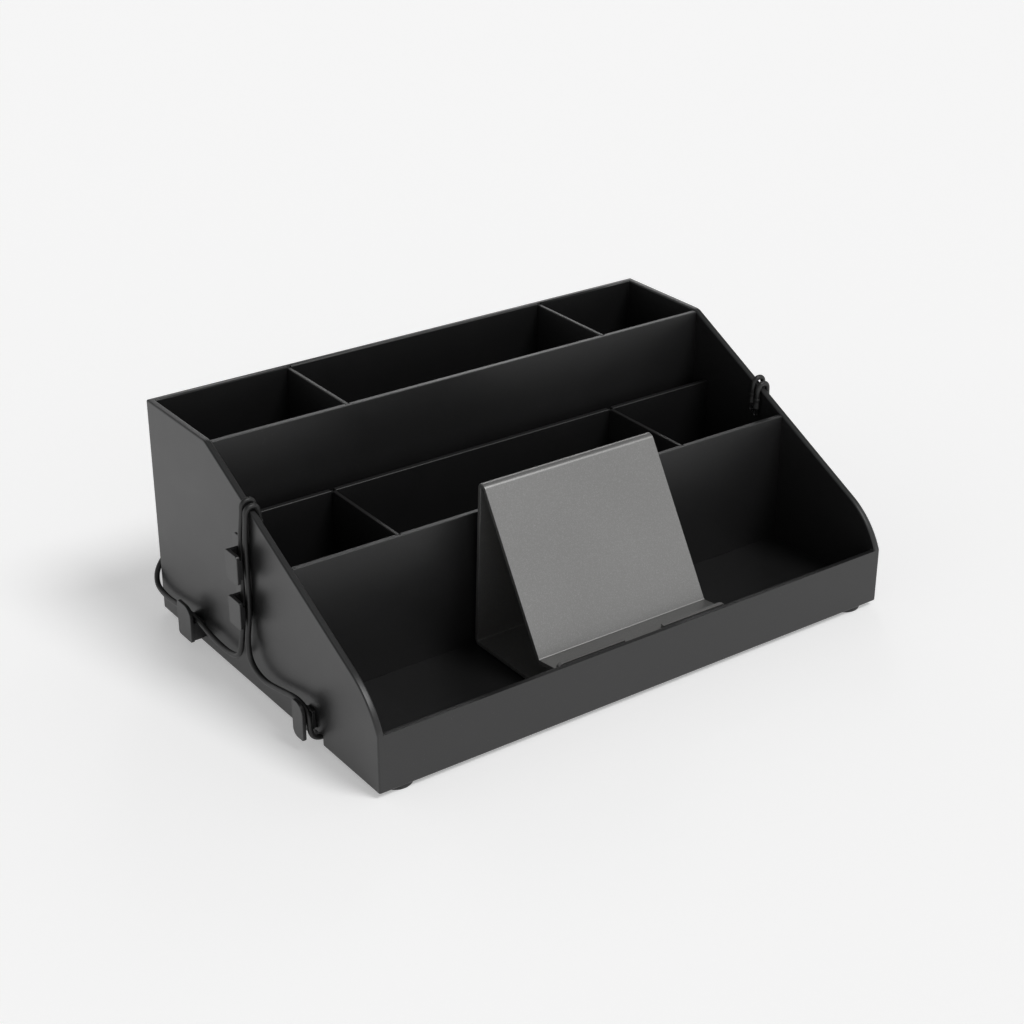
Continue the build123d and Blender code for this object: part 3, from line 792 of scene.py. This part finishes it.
def bootMesh(shape):
    # a moulded sleeve with grip ribs, its top drawn in round the lead
    r, h = shape["radius"], shape["height"]
    rim = [(0, 0), (r - 0.5, 0)] + arc((r - 0.4, 0.4), 0.4, -90, 0, 3)
    pitch = 3.4 / shape["ribs"]
    for k in range(shape["ribs"]):
        z = 1.4 + k * pitch
        rim += [(r, z), (r - 0.2, z + pitch * 0.3), (r - 0.2, z + pitch * 0.55), (r, z + pitch * 0.8)]
    rim += [(r, h - 1.2)] + arc((r - 0.5, h - 0.5), 0.5, 0, 70, 3) + [(1.45, h), (0, h)]
    return lathe([(a * mm, b * mm) for a, b in rim], 40)


def barrelMesh(shape):
    # an open metal tube with an insulating core set back inside
    r, h = shape["radius"], shape["height"]
    bore = r - shape["wall"]
    rim = [(0, h), (r - 0.15, h), (r, h - 0.15), (r, 2.1), (r - 0.15, 2.0), (r - 0.15, 1.8), (r, 1.7)]
    rim += [(r, 0.25), (r - 0.1, 0.05), (r - 0.2, 0), (bore, 0.1), (bore, 2.4), (0.55, 2.4), (0, 2.4)]
    return lathe([(a * mm, b * mm) for a, b in rim], 40)


for lead in ("rear_lead", "front_lead"):
    for side in ("left", "right"):
        for kind, mesh, material, slot in (("boot", bootMesh(bootShape), leadJacket, "lead_rubber"),
                                           ("barrel", barrelMesh(barrelShape), barrelPlate, "plug_metal")):
            node = f"{lead}_{side}_{kind}"
            low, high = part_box(node)
            name = lead.split("_")[0] + side.capitalize() + kind.capitalize()
            middle = (low + high) / 2
            makePiece(moved(mesh, (middle.x, middle.y, low.z)), name, "tray", material, slot, node)
print("leads: two leads laid, four plugs fitted")


# floor, light and camera

stageLook = {"reach": 14.0, "tone": 0.86, "glow": 0.32, "overhead": 0.20, "horizon": 0.90,
             "fade": (0.15, 0.60)}
lightRig = {
    "keyRight": {"from": (0.40, -0.80, 1.30), "spread": 24, "strength": 1.40},
    "rimBack": {"from": (0.52, 0.73, 0.45), "spread": 12, "strength": 0.12},
}


def layFloor(look):
    finish = Finish("paleFloor")
    tone = finish.cloud(3.0, 2.0)
    material = finish.set(Base_Color=finish.blend(tone, shade(look["tone"] * 0.995), shade(look["tone"])),
                          Roughness=0.9, Emission_Color=shade(1.0), Emission_Strength=look["glow"])
    bm = bmesh.new()
    bmesh.ops.create_grid(bm, x_segments=1, y_segments=1, size=look["reach"])
    mesh = bpy.data.meshes.new("studioFloor")
    bm.to_mesh(mesh)
    bm.free()
    mesh.materials.append(material)
    floor = bpy.data.objects.new("studioFloor", mesh)
    bpy.context.scene.collection.objects.link(floor)


def softSky(look):
    # a pale sky, brighter low down than overhead
    world = bpy.data.worlds.new("studioWorld")
    bpy.context.scene.world = world
    world.use_nodes = True
    desk = NodeDesk(world.node_tree)
    background = desk.tree.nodes["Background"]
    way = desk.node("TexCoord", {}, {}, "Generated")
    height = desk.node("SeparateXYZ", {}, {"Vector": way}, "Z")
    glow = desk.node("MapRange", {}, {"Value": height, "From Min": look["fade"][0],
                                      "From Max": look["fade"][1], "To Min": look["horizon"],
                                      "To Max": look["overhead"]})
    desk.feed(background.inputs["Strength"], glow)
    desk.feed(background.inputs["Color"], (1, 1, 1, 1))


def setLights(rig):
    # broad parallel lights, so that the floor is even
    for name, lamp in rig.items():
        light = bpy.data.lights.new(name, "SUN")
        light.angle = math.radians(lamp["spread"])
        light.energy = lamp["strength"]
        item = bpy.data.objects.new(name, light)
        bpy.context.scene.collection.objects.link(item)
        item.rotation_euler = Vector(lamp["from"]).to_track_quat("Z", "Y").to_euler()


cameraLook = {"at": (-0.60359, -0.83582, 0.57487), "lens": 69.16,
              "right": (0.81253, -0.58292, 0.00138), "up": (0.25861, 0.36259, 0.89535),
              "back": (-0.52241, -0.72714, 0.44536)}


def setCamera(look):
    camera = bpy.data.cameras.new("studioCamera")
    camera.lens = look["lens"]
    camera.sensor_width = 36
    item = bpy.data.objects.new("studioCamera", camera)
    bpy.context.scene.collection.objects.link(item)
    turn = Matrix((look["right"], look["up"], look["back"])).transposed()
    item.matrix_world = Matrix.Translation(look["at"]) @ turn.to_4x4()
    bpy.context.scene.camera = item


layFloor(stageLook)
softSky(stageLook)
setLights(lightRig)
setCamera(cameraLook)
bpy.context.scene.view_settings.view_transform = "Standard"
print("stage: floor, light and camera set")
